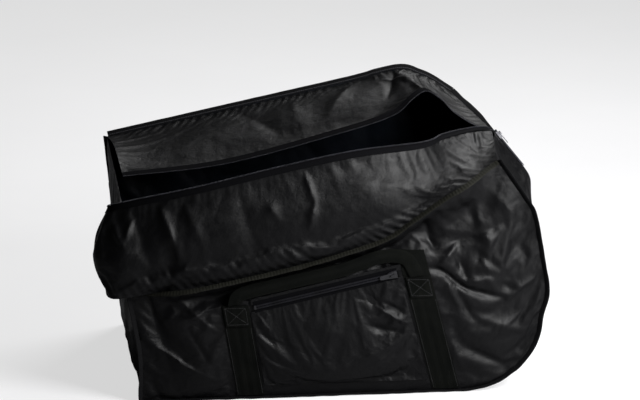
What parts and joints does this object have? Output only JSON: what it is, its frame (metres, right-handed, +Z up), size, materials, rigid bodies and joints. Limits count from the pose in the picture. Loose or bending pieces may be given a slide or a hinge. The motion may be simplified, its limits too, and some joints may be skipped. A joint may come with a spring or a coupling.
{
  "type": "soft bicycle travel bag",
  "caption": "Soft travel bag for a folded bike, standing open: panelled body, long top zip in two flaps, front pocket with a zip, webbing straps and carry handles.",
  "frame": {"origin": "middle of the ground under the bag's bounding box", "axes": "+X along the bag's width towards the end of its long zip, +Y towards the back panel, +Z up"},
  "size_m": [0.85, 0.518, 0.5196],
  "materials": {
    "bag_cloth": "woven polyester, slight sheen",
    "bag_webbing": "ribbed webbing, matte",
    "seam_binding": "folded tape, matte",
    "zip_tape": "woven tape, matte",
    "zip_coil": "nylon coil, satin",
    "zip_metal": "nickel-plated, satin",
    "painted_zip_metal": "black lacquer, satin"
  },
  "bodies": {
    "bag": {"front_panel": "bag_cloth", "back_panel": "bag_cloth", "base_panel": "bag_cloth", "left_gusset": "bag_cloth", "right_gusset": "bag_cloth", "front_shoulder": "bag_cloth", "back_shoulder": "bag_cloth", "pocket_panel": "bag_cloth", "pocket_top_facing": "bag_cloth", "front_left_strap": "bag_webbing", "front_right_strap": "bag_webbing", "back_left_strap": "bag_webbing", "back_right_strap": "bag_webbing", "front_left_handle_end": "bag_webbing", "front_right_handle_end": "bag_webbing", "back_left_handle_end": "bag_webbing", "back_right_handle_end": "bag_webbing", "left_base_strap": "bag_webbing", "right_base_strap": "bag_webbing", "front_seam_binding": "seam_binding", "front_lip_binding": "seam_binding", "back_seam_binding": "seam_binding", "back_top_binding": "seam_binding", "front_shoulder_zip_tape": "zip_tape", "back_shoulder_zip_tape": "zip_tape", "pocket_zip_lower_tape": "zip_tape", "pocket_zip_upper_tape": "zip_tape", "main_zip_back_tape": "zip_tape", "main_zip_front_tape": "zip_tape", "front_shoulder_zip_coil": "zip_coil", "back_shoulder_zip_coil": "zip_coil", "pocket_zip_lower_coil": "zip_coil", "pocket_zip_upper_coil": "zip_coil", "main_zip_back_coil": "zip_coil", "main_zip_front_coil": "zip_coil", "main_zip_end_stop": "zip_metal", "pocket_zip_end_stop": "painted_zip_metal"},
    "front_flap": {"front_flap": "bag_cloth", "front_flap_zip_tape": "zip_tape", "front_flap_zip_coil": "zip_coil"},
    "back_flap": {"back_flap": "bag_cloth", "back_flap_zip_tape": "zip_tape", "back_flap_zip_coil": "zip_coil"},
    "front_handle": {"front_handle": "bag_webbing"},
    "back_handle": {"back_handle": "bag_webbing"},
    "main_zip_slider": {"main_zip_slider": "zip_metal"},
    "main_zip_pull": {"main_zip_pull": "zip_metal"},
    "pocket_zip_slider": {"pocket_zip_slider": "painted_zip_metal"},
    "pocket_zip_pull": {"pocket_zip_pull": "painted_zip_metal"}
  },
  "joints": [
    {"name": "front_flap_fold", "type": "hinge", "parent": "bag", "child": "front_flap", "pos_m": [0.0768, -0.23236, 0.30633], "axis": [-0.9749, 0.0801, -0.2078], "range_deg": [0, 30]},
    {"name": "back_flap_lift", "type": "hinge", "parent": "bag", "child": "back_flap", "pos_m": [0.0768, 0.21364, 0.48634], "axis": [-0.9789, 0, -0.2045], "range_deg": [0, 80]},
    {"name": "front_handle_swing", "type": "hinge", "parent": "bag", "child": "front_handle", "pos_m": [-0.00334, -0.2225, 0.2125], "axis": [0.9912, 0.0004, 0.1325], "range_deg": [0, 110]},
    {"name": "back_handle_swing", "type": "hinge", "parent": "bag", "child": "back_handle", "pos_m": [0.04246, 0.23994, 0.3], "axis": [1, -0.0085, 0], "range_deg": [0, 160]},
    {"name": "main_zip_slider_run", "type": "slide", "parent": "bag", "child": "main_zip_slider", "axis": [0.6233, -0.0031, -0.782], "range_m": [0, 0.066]},
    {"name": "main_zip_pull_turn", "type": "hinge", "parent": "main_zip_slider", "child": "main_zip_pull", "pos_m": [0.34416, -0.01984, 0.44553], "axis": [0.0088, -0.9999, 0.011], "range_deg": [0, 165]},
    {"name": "pocket_zip_slider_run", "type": "slide", "parent": "bag", "child": "pocket_zip_slider", "axis": [-0.9771, 0, -0.213], "range_m": [0, 0.24]},
    {"name": "pocket_zip_pull_turn", "type": "hinge", "parent": "pocket_zip_slider", "child": "pocket_zip_pull", "pos_m": [0.11873, -0.22726, 0.2418], "axis": [-0.213, 0, 0.9771], "range_deg": [0, 165]}
  ]
}
